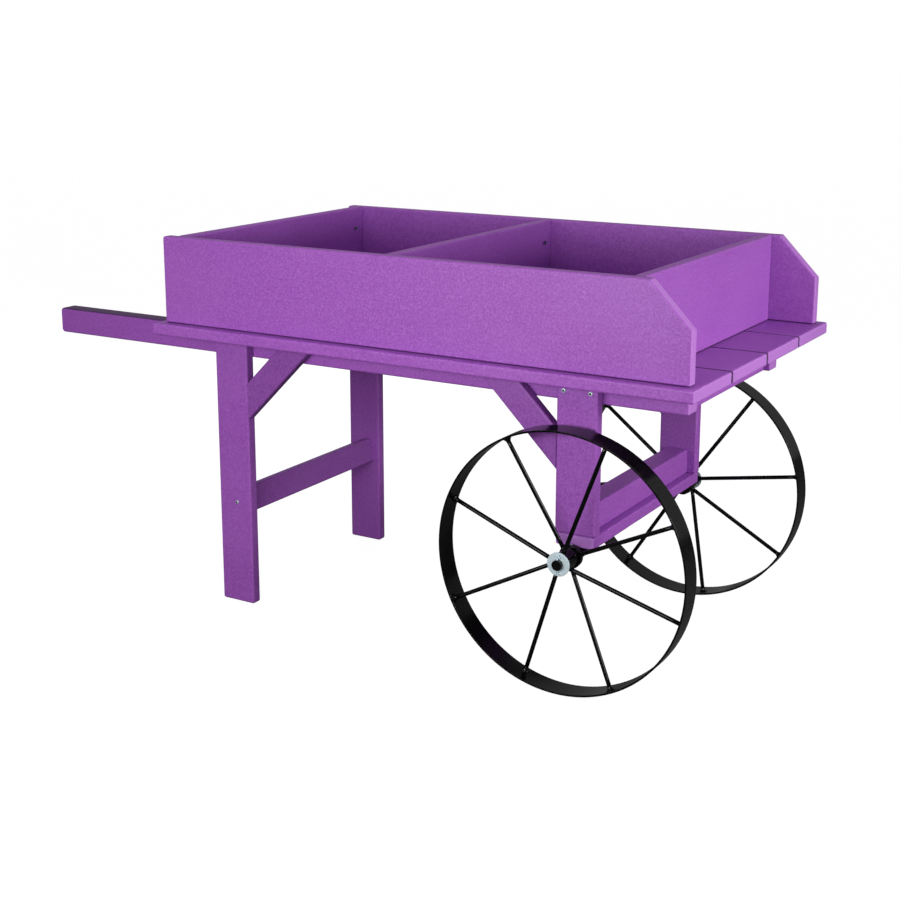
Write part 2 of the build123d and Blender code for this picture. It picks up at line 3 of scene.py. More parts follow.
import bmesh
import bpy
import numpy as np
from bpy.props import FloatProperty, FloatVectorProperty, PointerProperty
from bpy.types import Operator, Panel, PropertyGroup
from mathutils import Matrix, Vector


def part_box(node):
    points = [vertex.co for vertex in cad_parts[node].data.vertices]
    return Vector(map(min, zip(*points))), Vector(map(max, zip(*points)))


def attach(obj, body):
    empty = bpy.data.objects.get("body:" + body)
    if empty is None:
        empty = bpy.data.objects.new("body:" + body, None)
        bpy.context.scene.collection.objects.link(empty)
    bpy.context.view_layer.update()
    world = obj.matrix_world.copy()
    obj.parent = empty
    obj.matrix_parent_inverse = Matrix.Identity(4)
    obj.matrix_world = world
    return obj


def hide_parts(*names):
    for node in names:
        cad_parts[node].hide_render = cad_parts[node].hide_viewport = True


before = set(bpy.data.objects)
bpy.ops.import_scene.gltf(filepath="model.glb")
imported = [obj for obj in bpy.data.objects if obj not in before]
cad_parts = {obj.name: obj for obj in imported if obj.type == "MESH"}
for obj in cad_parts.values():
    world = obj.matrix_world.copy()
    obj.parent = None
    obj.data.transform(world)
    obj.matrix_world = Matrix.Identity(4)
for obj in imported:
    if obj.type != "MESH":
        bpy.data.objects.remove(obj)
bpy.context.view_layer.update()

bl_info = {
    "name": "Push Vending Cart",
    "version": (1, 0, 0),
    "blender": (4, 5, 0),
    "location": "View3D > Sidebar > Cart",
    "description": "Finishes and fittings for a plastic-lumber push cart on steel spoked wheels",
    "category": "Object",
}

SIDES = ("left", "right")
# points round and rows along each kind of piece
ROD_SIDES, ROD_ROWS = 24, 12
WELD_SIDES, WELD_ROWS = 32, 9
SCREW_SIDES, THREAD_ROWS = 24, 40
WIRE_SIDES, LEG_ROWS, EYE_ROWS = 16, 40, 48
MERGE_DISTANCE = 1e-7
ROD_INTO_HUB = 0.002  # how far a spoke's rod runs on inside the hub's wall
ROD_INTO_RIM = 0.0005
WELD_SINK = 0.0006  # how far a weld's toe is let into its seat
TIP_LENGTH = 0.006  # of a screw's pointed end
EYE_RADIUS = 0.0052  # of a cotter pin's eye, at most
EYE_MOUTH = 24.0  # degrees that the eye is open below
FLOOR_REACH = 40.0  # half the floor's side
CAMERA_PLACE = (2.7076, -4.2478, 1.9121)
CAMERA_DIP = 12.68  # degrees below level
CAMERA_TURN = 31.04  # degrees to the left of straight across the cart
LENS_SHIFT = (0.0021, -0.0839)

# which way each board's grain runs
PLANKS = ["deck_plank_1", "deck_plank_2", "deck_plank_3", "deck_plank_4"]
GRAIN_ALONG_X = ["side_board_left", "side_board_right", "rail_left", "rail_right"]
GRAIN_ALONG_Y = ["rear_board", "divider_board", "front_board", "cross_member_1", "cross_member_2",
                 "cross_member_3", "cross_member_4", "front_beam", "axle_plate"]
GRAIN_ALONG_Z = ["rear_leg_left", "rear_leg_right", "front_leg_left", "front_leg_right"]
GRAIN_UP_FORWARD = ["rear_brace_left", "rear_brace_right"]
GRAIN_UP_BACKWARD = ["front_brace_left", "front_brace_right"]
# a pattern's scale along X, Y and Z, which draws it out one way
LONG_X = (0.12, 1.0, 1.0)
LONG_Y = (1.0, 0.12, 1.0)
LONG_Z = (1.0, 1.0, 0.12)
SCREW_GROUPS = ["leg_screws", "brace_screws", "cross_member_screws", "deck_screws", "side_board_screws",
                "pocket_screws", "stretcher_screws", "plate_screws"]


# ---------------------------------------------------------------- sizes and colours

class LumberSettings(PropertyGroup):
    face_colour: FloatVectorProperty(
        name="Face colour", description="Colour of the moulded faces", subtype="COLOR",
        default=(0.335, 0.090, 0.470), min=0.0, max=1.0)
    fleck_colour: FloatVectorProperty(
        name="Fleck colour", description="Paler pigment flecks in the faces", subtype="COLOR",
        default=(0.44, 0.165, 0.585), min=0.0, max=1.0)
    shade_colour: FloatVectorProperty(
        name="Pit colour", description="Darker tone in the pits of the grain", subtype="COLOR",
        default=(0.225, 0.050, 0.335), min=0.0, max=1.0)
    sawn_colour: FloatVectorProperty(
        name="Sawn end colour", description="Pale, scuffed tone of the sawn ends", subtype="COLOR",
        default=(0.55, 0.27, 0.68), min=0.0, max=1.0)
    # painted shade, with some grime, for the seams and contact edges at the deck
    seam_shade_and_grime_colour: FloatVectorProperty(
        name="Seam shade and grime colour", description="Painted shade and grime in the seams at the deck", subtype="COLOR",
        default=(0.030, 0.010, 0.045), min=0.0, max=1.0)
    fleck_size: FloatProperty(
        name="Fleck size", description="Width of one fleck or pit", default=0.0048, unit="LENGTH")
    relief: FloatProperty(
        name="Relief", description="Height of the moulded grain", default=0.0004, unit="LENGTH")
    roughness: FloatProperty(
        name="Roughness", description="Roughness of the moulded faces", subtype="FACTOR", default=0.44,
        min=0.0, max=1.0)


class CoatSettings(PropertyGroup):
    colour: FloatVectorProperty(
        name="Coat colour", description="Black powder coat on the wheels and brackets", subtype="COLOR",
        default=(0.0014, 0.0013, 0.0016), min=0.0, max=1.0)
    dust_colour: FloatVectorProperty(
        name="Dust colour", description="Dust that clings to the tread", subtype="COLOR",
        default=(0.11, 0.095, 0.08), min=0.0, max=1.0)
    roughness: FloatProperty(
        name="Roughness", description="Roughness of the coat", subtype="FACTOR", default=0.16,
        min=0.0, max=1.0)


class ZincSettings(PropertyGroup):
    colour: FloatVectorProperty(
        name="Zinc colour", description="Blue-white zinc plating", subtype="COLOR",
        default=(0.76, 0.92, 1.0), min=0.0, max=1.0)
    roughness: FloatProperty(
        name="Roughness", description="Roughness of the plating", subtype="FACTOR", default=0.38,
        min=0.0, max=1.0)


class WeldSettings(PropertyGroup):
    rim_toe: FloatProperty(
        name="Rim weld toe", description="Radius of a weld where it meets the rim", default=0.0145,
        unit="LENGTH")
    rim_height: FloatProperty(
        name="Rim weld height", description="How far a weld climbs the spoke at the rim", default=0.014,
        unit="LENGTH")
    hub_toe: FloatProperty(
        name="Hub weld toe", description="Radius of a weld where it meets the hub", default=0.0105,
        unit="LENGTH")
    hub_height: FloatProperty(
        name="Hub weld height", description="How far a weld climbs the spoke at the hub", default=0.008,
        unit="LENGTH")
    ripple: FloatProperty(
        name="Ripple", description="Unevenness of the weld bead, as a share of its radius", subtype="FACTOR",
        default=0.06, min=0.0, max=0.5)


class FastenerSettings(PropertyGroup):
    recess_half_width: FloatProperty(
        name="Recess half width", description="Half the width of the square drive recess", default=0.0029,
        unit="LENGTH")
    recess_depth: FloatProperty(
        name="Recess depth", description="Depth of the square drive recess", default=0.0030, unit="LENGTH")
    thread_pitch: FloatProperty(
        name="Thread pitch", description="Advance of a screw's thread in one turn", default=0.0032,
        unit="LENGTH")
    thread_height: FloatProperty(
        name="Thread height", description="How far the thread stands out of its root", default=0.0006,
        unit="LENGTH")
    wire_radius: FloatProperty(
        name="Cotter wire radius", description="Radius of the folded wire of a cotter pin", default=0.00125,
        unit="LENGTH")


class StageSettings(PropertyGroup):
    floor_colour: FloatVectorProperty(
        name="Floor colour", description="Plain pale floor", subtype="COLOR", default=(0.10, 0.10, 0.10),
        min=0.0, max=1.0)
    floor_lift: FloatProperty(
        name="Floor lift", description="How far the floor is lit up to the white of the room", default=0.95,
        min=0.0)
    lens: FloatProperty(
        name="Lens", description="Focal length in millimetres", default=59.95, unit="CAMERA")
    key_power: FloatProperty(
        name="Key power", description="Power of the large soft light in front", default=57.0, unit="POWER")
    top_power: FloatProperty(
        name="Top power", description="Power of the wide soft light overhead", default=28.0, unit="POWER")
    back_power: FloatProperty(
        name="Back power", description="Power of the soft light behind, on the side away from the camera",
        default=70.0, unit="POWER")
    end_power: FloatProperty(
        name="End power", description="Power of the soft light that faces the cart's front end",
        default=52.0, unit="POWER")
    sky: FloatProperty(
        name="Sky", description="Brightness of the surrounding white room", default=0.26, min=0.0)


SETTINGS = {
    "cart_lumber": LumberSettings,
    "cart_coat": CoatSettings,
    "cart_zinc": ZincSettings,
    "cart_weld": WeldSettings,
    "cart_fastener": FastenerSettings,
    "cart_stage": StageSettings,
}


# ---------------------------------------------------------------- material tools

class Signal:
    """A number on its way through a material; arithmetic on it adds Math nodes."""

    def __init__(self, finish, socket):
        self.finish = finish
        self.socket = socket

    def math(self, operation, first, second=0.0):
        return self.finish.node("ShaderNodeMath", {"operation": operation}, {0: first, 1: second})

    def __add__(self, other):
        return self.math("ADD", self, other)

    __radd__ = __add__

    def __sub__(self, other):
        return self.math("SUBTRACT", self, other)

    def __rsub__(self, other):
        return self.math("SUBTRACT", other, self)

    def __mul__(self, other):
        return self.math("MULTIPLY", self, other)

    __rmul__ = __mul__

    def __abs__(self):
        return self.math("ABSOLUTE", self)

    def smooth_between(self, low, high):
        """0 below low, 1 above high, and a smooth step between them."""
        return self.finish.node(
            "ShaderNodeMapRange", {"interpolation_type": "SMOOTHSTEP"},
            {"Value": self, "From Min": low, "From Max": high})


class Finish:
    """A material and short ways to add its nodes."""

    def __init__(self, name):
        self.material = bpy.data.materials.new(name)
        self.material.use_nodes = True
        self.tree = self.material.node_tree
        self.tree.nodes.clear()
        self.output = self.tree.nodes.new("ShaderNodeOutputMaterial")

    def node(self, kind, settings=None, inputs=None, out=0):
        """Adds one node: its settings first, then a value or a link for each socket named."""
        node = self.tree.nodes.new(kind)
        for key, value in (settings or {}).items():
            setattr(node, key, value)
        for key, value in (inputs or {}).items():
            if isinstance(value, Signal):
                self.tree.links.new(value.socket, node.inputs[key])
            else:
                node.inputs[key].default_value = value
        return Signal(self, node.outputs[out])

    def place(self):
        """The point on the object, in metres."""
        return self.node("ShaderNodeTexCoord", out="Object")

    def part_of(self, vector, axis):
        """One of a vector's three parts."""
        return self.node("ShaderNodeSeparateXYZ", None, {0: vector}, out=axis)

    def noise(self, point, scale, detail=3.0, roughness=0.55):
        return self.node("ShaderNodeTexNoise", None,
                         {"Vector": point, "Scale": scale, "Detail": detail, "Roughness": roughness})

    def stretched(self, point, turn, stretch):
        """The point turned about Y, then scaled, so that a pattern runs long one way."""
        return self.node("ShaderNodeMapping", {"vector_type": "POINT"},
                         {"Vector": point, "Rotation": (0.0, turn, 0.0), "Scale": stretch})

    def mix(self, factor, first, second):
        """A colour between two colours."""
        return self.node("ShaderNodeMix", {"data_type": "RGBA", "clamp_factor": True},
                         {0: factor, 6: first, 7: second}, out=2)

    def bump(self, height, distance, strength=1.0):
        return self.node("ShaderNodeBump", None,
                         {"Height": height, "Distance": distance, "Strength": strength})

    def surface(self, **inputs):
        """Ends the material in a Principled shader with these sockets, underscores for spaces."""
        named = {key.replace("_", " "): value for key, value in inputs.items()}
        shader = self.node("ShaderNodeBsdfPrincipled", None, named)
        self.tree.links.new(shader.socket, self.output.inputs["Surface"])
        return self.material


def opaque(colour):
    return (*colour, 1.0)


def lumber_finish(name, turn, stretch, along, tone=1.0):
    """Solid-coloured plastic lumber, with moulded grain on its faces and saw marks on its ends.

    turn and stretch lay the grain's streaks along the board, along is the board's direction, and tone darkens
    the whole board: painted shade for the pieces that sit under the deck. Painted shade, with some grime,
    darkens the walls of the gaps between the planks, and the edges of the other boards within a few
    millimetres of the deck.
    """
    look = bpy.context.scene.cart_lumber
    finish = Finish(name)
    point = finish.place()
    fine = finish.noise(point, 1.0 / look.fleck_size, 4.0, 0.62)
    pits = finish.noise(point, 0.68 / look.fleck_size, 2.0, 0.5)
    grain = finish.noise(finish.stretched(point, turn, stretch), 42.0, 4.0, 0.6)
    cloud = finish.noise(point, 3.2, 2.0, 0.5)

    fleck = fine.smooth_between(0.48, 0.64) * 0.60
    dark = (pits * 0.8 + grain * 0.2).smooth_between(0.54, 0.38) * 0.44
    # tone below 1 is painted shade: it darkens the whole board for the pieces under the deck
    face, pale, deep = (opaque([channel * tone for channel in shade])
                        for shade in (look.face_colour, look.fleck_colour, look.shade_colour))
    colour = finish.mix(fleck, face, pale)
    colour = finish.mix(dark, colour, deep)
    colour = finish.mix(cloud.smooth_between(0.42, 0.66) * 0.14, colour, pale)

    facing = finish.node("ShaderNodeTexCoord", out="Normal")
    across = finish.node("ShaderNodeVectorMath", {"operation": "DOT_PRODUCT"},
                         {0: facing, 1: along}, out="Value")
    sawn = abs(across).smooth_between(0.55, 0.70)
    kerf = finish.node("ShaderNodeTexWave", {"wave_type": "BANDS", "bands_direction": "DIAGONAL"},
                       {"Vector": point, "Scale": 95.0, "Distortion": 3.0, "Detail": 2.0}, out="Fac")
    colour = finish.mix(sawn * (0.30 + kerf * 0.22), colour, opaque(look.sawn_colour))

    # painted shade, with some grime: the walls of the gaps between the planks, and the other boards where
    # they meet the deck, are darkened
    deck_low, deck_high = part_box("deck_plank_1")
    if name.startswith("plank"):
        half_deck = -deck_low[1]
        wall = abs(finish.part_of(facing, 1)).smooth_between(0.35, 0.85)
        inside = abs(finish.part_of(point, 1)).smooth_between(half_deck - 0.02, half_deck - 0.03)
        shade_and_grime = wall * inside
    else:
        level = finish.part_of(point, 2)
        clear = level.math("MAXIMUM", level - deck_high[2], deck_low[2] - level)
        shade_and_grime = clear.smooth_between(0.0065, 0.0015)
    # the painted seam shade and grime are mixed into the colour here
    colour = finish.mix(shade_and_grime * 0.85, colour, opaque(look.seam_shade_and_grime_colour))

    height = fine * 0.45 + pits * 0.35 + grain * 0.35 + sawn * kerf * 0.5
    rough = look.roughness + (fine - 0.5) * 0.22 + sawn * 0.2
    return finish.surface(
        Base_Color=colour, Roughness=rough, Normal=finish.bump(height, look.relief),
        IOR=1.50, Specular_IOR_Level=0.32)


def coat_finish(name, dusty):
    """Black powder coat with a faint orange peel; a dusty one is scuffed and greyed on its tread."""
    look = bpy.context.scene.cart_coat
    finish = Finish(name)
    point = finish.place()
    peel = finish.noise(point, 420.0, 2.0, 0.5)
    wave = finish.noise(point, 34.0, 3.0, 0.5)
    scuff = finish.noise(point, 150.0, 5.0, 0.7)
    colour = opaque(look.colour)
    rough = look.roughness + (wave - 0.5) * 0.12
    if dusty:
        centre = wheel_centre()
        reach = finish.node("ShaderNodeVectorMath", {"operation": "DISTANCE"},
                            {0: finish.node("ShaderNodeVectorMath", {"operation": "MULTIPLY"},
                                            {0: point, 1: (1.0, 0.0, 1.0)}),
                             1: (centre[0], 0.0, centre[2])}, out="Value")
        tread = reach.smooth_between(centre[2] - 0.0014, centre[2] - 0.0004)
        film = tread * scuff.smooth_between(0.46, 0.70) * 0.08
        colour = finish.mix(film, colour, opaque(look.dust_colour))
        rough = rough + film * 0.4
    return finish.surface(
        Base_Color=colour, Roughness=rough, Normal=finish.bump(peel * 0.2 + wave * 0.8, 0.00003),
        IOR=1.50, Specular_IOR_Level=0.24)


def zinc_finish(name, shade, spread):
    """Zinc plating: spangled blue-white metal with a cloudy, slightly yellowed passivation.

    shade is how bright the metal is, and spread how far the yellow goes.
    """
    look = bpy.context.scene.cart_zinc
    finish = Finish(name)
    point = finish.place()
    spangle = finish.node("ShaderNodeTexVoronoi", {"feature": "F1"}, {"Vector": point, "Scale": 260.0},
                          out="Distance")
    cloud = finish.noise(point, 60.0, 4.0, 0.6)
    tone = tuple(channel * shade for channel in look.colour)
    warm = (tone[0] * 1.04, tone[1] * 0.95, tone[2] * 0.82)
    colour = finish.mix(cloud.smooth_between(0.42, 0.66) * spread, opaque(tone), opaque(warm))
    rough = look.roughness + (cloud - 0.5) * 0.3 + spangle * 0.08
    return finish.surface(
        Base_Color=colour, Metallic=0.5, Roughness=rough, Normal=finish.bump(spangle + cloud, 0.00008))


def recess_shade_and_grime_finish(name):
    """Painted shade, with some grime, in a drive recess: a dark, dull colour."""
    finish = Finish(name)
    crumbs = finish.noise(finish.place(), 900.0, 3.0, 0.6)
    colour = finish.mix(crumbs, (0.012, 0.009, 0.014, 1.0), (0.05, 0.035, 0.05, 1.0))
    return finish.surface(Base_Color=colour, Roughness=0.7, Normal=finish.bump(crumbs, 0.0001))


def bronze_finish(name):
    """Oiled bearing bronze with dark oil in its turning marks."""
    finish = Finish(name)
    point = finish.place()
    marks = finish.noise(finish.stretched(point, 0.0, (1.0, 30.0, 1.0)), 50.0, 3.0, 0.6)
    oil = finish.noise(point, 40.0, 3.0, 0.6).smooth_between(0.4, 0.62)
    colour = finish.mix(oil * 0.6, (0.42, 0.25, 0.11, 1.0), (0.10, 0.06, 0.03, 1.0))
    return finish.surface(
        Base_Color=colour, Metallic=1.0, Roughness=0.3 + marks * 0.2, Normal=finish.bump(marks, 0.00006))


def wear(names, material):
    """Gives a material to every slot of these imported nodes."""
    for name in names:
        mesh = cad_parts[name].data
        mesh.materials.clear()
        mesh.materials.append(material)


# ---------------------------------------------------------------- mesh tools

def wheel_centre():
    """The axle's middle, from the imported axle's box."""
    low, high = (np.array(corner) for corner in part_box("axle"))
    return (low + high) / 2


def islands(node):
    """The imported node's separate solids, as one array of points each.

    Vertices at the same place share a label; each triangle passes the lowest label to its corners
    until nothing changes.
    """
    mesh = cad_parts[node].data
    points = np.empty(len(mesh.vertices) * 3)
    mesh.vertices.foreach_get("co", points)
    points = points.reshape(-1, 3)
    mesh.calc_loop_triangles()
    corners = np.empty(len(mesh.loop_triangles) * 3, dtype=np.int64)
    mesh.loop_triangles.foreach_get("vertices", corners)
    _, place = np.unique(np.round(points, 6), axis=0, return_inverse=True)
    place = place.reshape(-1)
    triangles = place[corners.reshape(-1, 3)]
    label = np.arange(place.max() + 1)
    while True:
        lowest = label[triangles].min(axis=1)
        updated = label.copy()
        np.minimum.at(updated, triangles.reshape(-1), np.repeat(lowest, 3))
        updated = updated[updated]
        if np.array_equal(updated, label):
            break
        label = updated
    return [points[label[place] == number] for number in np.unique(label)]


def frame_about(axis):
    """Two unit vectors square to the axis and to each other."""
    axis = axis / np.linalg.norm(axis)
    helper = np.eye(3)[np.argmin(np.abs(axis))]
    first = np.cross(axis, helper)
    first /= np.linalg.norm(first)
    return first, np.cross(axis, first)


def round_turn(count):
    """This many angles, evenly spaced round a full turn."""
    return np.linspace(0.0, 2 * np.pi, count, endpoint=False)


def quads(rows, columns, start):
    """Corner numbers of a grid's quads, where each row closes on itself."""
    row = np.arange(rows - 1)[:, None]
    column = np.arange(columns)[None, :]
    above = row + 1
    beside = (column + 1) % columns
    corners = [row * columns + column, row * columns + beside,
               above * columns + beside, above * columns + column]
    return start + np.stack(np.broadcast_arrays(*corners), axis=-1).reshape(-1, 4)


def add_piece(name, sheets, material, body, lining=None, lined_rows=0):
    """One object from several grids of points; each grid's rows are closed loops, and its end rows are poles.

    Points that fall together are merged, so poles and seams are closed. The first lined_rows rows of
    faces in each grid take the material called lining.
    """
    vertices, faces, lined, start = [], [], [], 0
    for sheet in sheets:
        rows, columns = sheet.shape[:2]
        vertices.append(sheet.reshape(-1, 3))
        faces.append(quads(rows, columns, start))
        lined.append(np.arange(len(faces[-1])) < lined_rows * columns)
        start += rows * columns
    mesh = bpy.data.meshes.new(name)
    mesh.from_pydata(np.concatenate(vertices).tolist(), [], np.concatenate(faces).tolist())
    mesh.polygons.foreach_set("material_index", np.concatenate(lined).astype(np.int32))
    shell = bmesh.new()
    shell.from_mesh(mesh)
    bmesh.ops.remove_doubles(shell, verts=shell.verts, dist=MERGE_DISTANCE)
    bmesh.ops.recalc_face_normals(shell, faces=shell.faces)
    shell.to_mesh(mesh)
    shell.free()
    mesh.shade_smooth()
    mesh.materials.append(material)
    if lining:
        mesh.materials.append(lining)
    piece = bpy.data.objects.new(name, mesh)
    bpy.context.scene.collection.objects.link(piece)
    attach(piece, body)
    return piece


def lathe(centre, axis, radii, heights, segments):
    """A profile turned round an axis.

    Point (i, a) = centre + heights[i] * axis + radii[i] * (first * cos a + second * sin a).
    """
    first, second = frame_about(axis)
    axis = axis / np.linalg.norm(axis)
    angle = round_turn(segments)
    ring = np.cos(angle)[:, None] * first + np.sin(angle)[:, None] * second
    radii, heights = np.asarray(radii, float), np.asarray(heights, float)
    return centre + heights[:, None, None] * axis + radii[:, None, None] * ring


def sweep(path, radius, segments, side):
    """A round wire, its radius given at each point, along a path that lies in a plane square to side.

    Point (i, a) = path[i] + radius[i] * (side * cos a + square[i] * sin a), where square[i] is square to
    the path and to side.
    """
    tangent = np.gradient(path, axis=0)
    tangent /= np.linalg.norm(tangent, axis=1)[:, None]
    square = np.cross(tangent, side)
    angle = round_turn(segments)[None, :, None]
    around = np.cos(angle) * side + np.sin(angle) * square[:, None]
    return path[:, None] + radius[:, None, None] * around


# ---------------------------------------------------------------- the pieces

def weld_bead(base, up, along, toe, height, rod, seat_radius, sag_way, ripple, phase):
    """A concave weld round a rod where it meets a rim or a hub.

    With s from 0 at the toe to 1 at the top, the bead's radius is rod + (toe - rod) * (1 - s)^2, times a
    ripple of 9 and 17 waves round it that fades towards the top. Its rings lie square to up, climb by
    s * height along the rod, and bend with the seat's curve at the toe: towards up in a rim, where sag_way
    is 1, and away from it on a hub, where it is -1.
    """
    step = np.linspace(0.0, 1.0, WELD_ROWS)[:, None]
    angle = round_turn(WELD_SIDES)[None, :]
    waves = np.sin(9 * angle + phase) + 0.6 * np.sin(17 * angle + 2.3 * phase)
    radius = (rod + (toe - rod) * (1 - step) ** 2) * (1 + ripple * waves * (1 - step))
    across = np.array([0.0, 1.0, 0.0])
    tangent = np.cross(up, across)
    sideways, forward = radius * np.cos(angle), radius * np.sin(angle)
    sag = sag_way * (seat_radius - np.sqrt(seat_radius ** 2 - sideways ** 2)) * (1 - step)
    climb = step * height - WELD_SINK * (1 - step)
    return (base + climb[..., None] * along / np.dot(along, up)
            + sideways[..., None] * tangent + forward[..., None] * across + sag[..., None] * up)


def capped(sheet):
    """The sheet with its first and last rows drawn to their centres."""
    first = np.repeat(sheet[:1].mean(axis=1, keepdims=True), sheet.shape[1], axis=1)
    last = np.repeat(sheet[-1:].mean(axis=1, keepdims=True), sheet.shape[1], axis=1)
    return np.concatenate([first, sheet, last])


class CART_OT_lumber(Operator):
    """Give every board its moulded and sawn plastic-lumber finish"""

    bl_idname = "cart.lumber"
    bl_label = "Finish the Lumber"

    def execute(self, context):
        quarter = math.pi / 4
        wear(PLANKS, lumber_finish("planks", 0.0, LONG_X, (1.0, 0.0, 0.0)))
        wear(GRAIN_ALONG_X, lumber_finish("lumber along the cart", 0.0, LONG_X, (1.0, 0.0, 0.0)))
        wear(GRAIN_ALONG_Y, lumber_finish("lumber across the cart", 0.0, LONG_Y, (0.0, 1.0, 0.0)))
        # the stretcher and the braces take darker copies of the lumber: painted shade for pieces under the
        # deck
        wear(["rear_stretcher"],
             lumber_finish("stretcher lumber", 0.0, LONG_Y, (0.0, 1.0, 0.0), 0.86))
        wear(GRAIN_ALONG_Z, lumber_finish("upright lumber", 0.0, LONG_Z, (0.0, 0.0, 1.0)))
        wear(GRAIN_UP_FORWARD,
             lumber_finish("rear brace lumber", quarter, LONG_X, (0.707, 0.0, 0.707), 0.80))
        wear(GRAIN_UP_BACKWARD,
             lumber_finish("front brace lumber", -quarter, LONG_X, (-0.707, 0.0, 0.707), 0.86))
        return {"FINISHED"}


class CART_OT_metal(Operator):
    """Coat, plate and oil the steel and bronze pieces that keep their shape"""

    bl_idname = "cart.metal"
    bl_label = "Finish the Metal"

    def execute(self, context):
        coat = coat_finish("black coat", False)
        wear(["rim_left", "rim_right"], coat_finish("black coat with dusty tread", True))
        coated = ("hub", "inner_washer", "shaft_collar", "axle_seat", "axle_strap")
        wear(["axle"] + [f"{piece}_{side}" for side in SIDES for piece in coated], coat)
        wear(["bushing_left", "bushing_right"], bronze_finish("oiled bronze"))
        wear(["outer_washer_left", "outer_washer_right", "strap_screws", "collar_screws"],
             zinc_finish("bright zinc", 1.0, 0.5))
        return {"FINISHED"}


class CART_OT_spokes(Operator):
    """Build the welded round spokes of both wheels"""

    bl_idname = "cart.spokes"
    bl_label = "Add Spokes"

    def execute(self, context):
        look = context.scene.cart_weld
        coat = bpy.data.materials["black coat"]
        centre = wheel_centre()
        for side in SIDES:
            node = f"spokes_{side}"
            hub_low, hub_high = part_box(f"hub_{side}")
            hub_radius = (hub_high[2] - hub_low[2]) / 2
            sheets = []
            for number, points in enumerate(islands(node)):
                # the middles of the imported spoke's two ends, then its radius at the hub
                reach = np.hypot(points[:, 0] - centre[0], points[:, 2] - centre[2])
                bore = reach.max()
                start = points[reach < reach.min() + 0.003].mean(axis=0)
                end = points[reach > bore - 0.002].mean(axis=0)
                length = np.linalg.norm(end - start)
                along = (end - start) / length
                offset = points[reach < hub_radius + 0.004] - start
                rod = np.linalg.norm(offset - (offset @ along)[:, None] * along, axis=1).max()
                radial = np.array([end[0] - centre[0], 0.0, end[2] - centre[2]])
                radial /= np.linalg.norm(radial)
                stations = np.linspace(-ROD_INTO_HUB, length + ROD_INTO_RIM, ROD_ROWS)
                sheets.append(capped(lathe(start, along, np.full(ROD_ROWS, rod), stations, ROD_SIDES)))
                rim_foot = centre * (1, 0, 1) + radial * bore + end * (0, 1, 0)
                sheets.append(capped(weld_bead(
                    rim_foot, -radial, -along, look.rim_toe, look.rim_height, rod, bore, 1.0, look.ripple,
                    1.7 * number)))
                hub_foot = centre * (1, 0, 1) + radial * hub_radius + start * (0, 1, 0)
                sheets.append(capped(weld_bead(
                    hub_foot, radial, along, look.hub_toe, look.hub_height, rod, hub_radius, -1.0,
                    look.ripple, 0.9 + 2.1 * number)))
            piece = add_piece(f"welded_spokes_{side}", sheets, coat, f"{side}_wheel")
            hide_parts(node)
        return {"FINISHED"}


class CART_OT_screws(Operator):
    """Build every round-headed screw with its square recess and thread"""

    bl_idname = "cart.screws"
    bl_label = "Add Screws"

    def screw(self, look, points):
        """One screw over the points of a packed one.

        A ring's points lie at radius r where it is round and at r / max(|cos a|, |sin a|) where it is
        square. The thread's radius is the root's plus its height times a triangle wave of a / (2 pi) +
        depth / pitch, where depth is measured from the seat towards the tip.
        """
        middle = points.mean(axis=0)
        axis = np.linalg.svd(points - middle, full_matrices=False)[2][0]
        rise = (points - middle) @ axis
        reach = np.linalg.norm(points - middle - rise[:, None] * axis, axis=1)
        head = reach > 0.8 * reach.max()
        if rise[head].mean() < 0:
            axis, rise = -axis, -rise
        seat, top, tip = rise[head].min(), rise[head].max(), rise.min()
        radius = reach.max()
        shank = np.median(reach[(rise < seat - 0.001) & (reach > 0.0005)])
        tall = top - seat
        half, deep = look.recess_half_width, look.recess_depth
        # radius, height above the seat and squareness of each ring, from the recess to the neck
        rings = np.array([
            (0.0, tall - deep, 1.0), (half * 0.9, tall - deep, 1.0), (half, tall - 0.0001, 1.0),
            (half * 1.08, tall, 0.9), (radius * 0.45, tall, 0.2), (radius * 0.62, tall * 0.97, 0.0),
            (radius * 0.78, tall * 0.88, 0.0), (radius * 0.90, tall * 0.70, 0.0),
            (radius * 0.97, tall * 0.45, 0.0), (radius, tall * 0.18, 0.0),
            (radius * 0.985, 0.0, 0.0), (shank, 0.0, 0.0)])
        first, second = frame_about(axis)
        angle = round_turn(SCREW_SIDES)
        square = 1.0 / np.maximum(np.abs(np.cos(angle)), np.abs(np.sin(angle)))
        spread = rings[:, :1] * (1 - rings[:, 2:] + rings[:, 2:] * square)
        height = np.repeat(rings[:, 1:2], len(angle), axis=1)
        length = seat - tip
        down = np.linspace(0.0, 1.0, THREAD_ROWS)[:, None]
        turn = angle[None, :] / (2 * np.pi) + down * length / look.thread_pitch
        wave = 1 - 2 * np.abs(turn % 1.0 - 0.5)
        taper = np.clip((1 - down) * length / TIP_LENGTH, 0.0, 1.0)
        root = (shank - look.thread_height) * taper
        body = root + look.thread_height * wave * taper
        spread = np.concatenate([spread, body])
        height = np.concatenate([height, np.repeat(-down * length, len(angle), axis=1)])
        ring = np.cos(angle)[:, None] * first + np.sin(angle)[:, None] * second
        return middle + (seat + height)[..., None] * axis + spread[..., None] * ring

    def execute(self, context):
        look = context.scene.cart_fastener
        steel = zinc_finish("satin stainless", 0.74, 0.15)
        # painted shade, with some grime, lines the first rows of each screw: its drive recess
        shade_and_grime = recess_shade_and_grime_finish("painted shade and grime in the recesses")
        for group in SCREW_GROUPS:
            sheets = [self.screw(look, points) for points in islands(group)]
            piece = add_piece(f"driven_{group}", sheets, steel, "cart", lining=shade_and_grime, lined_rows=3)
            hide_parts(group)
        return {"FINISHED"}


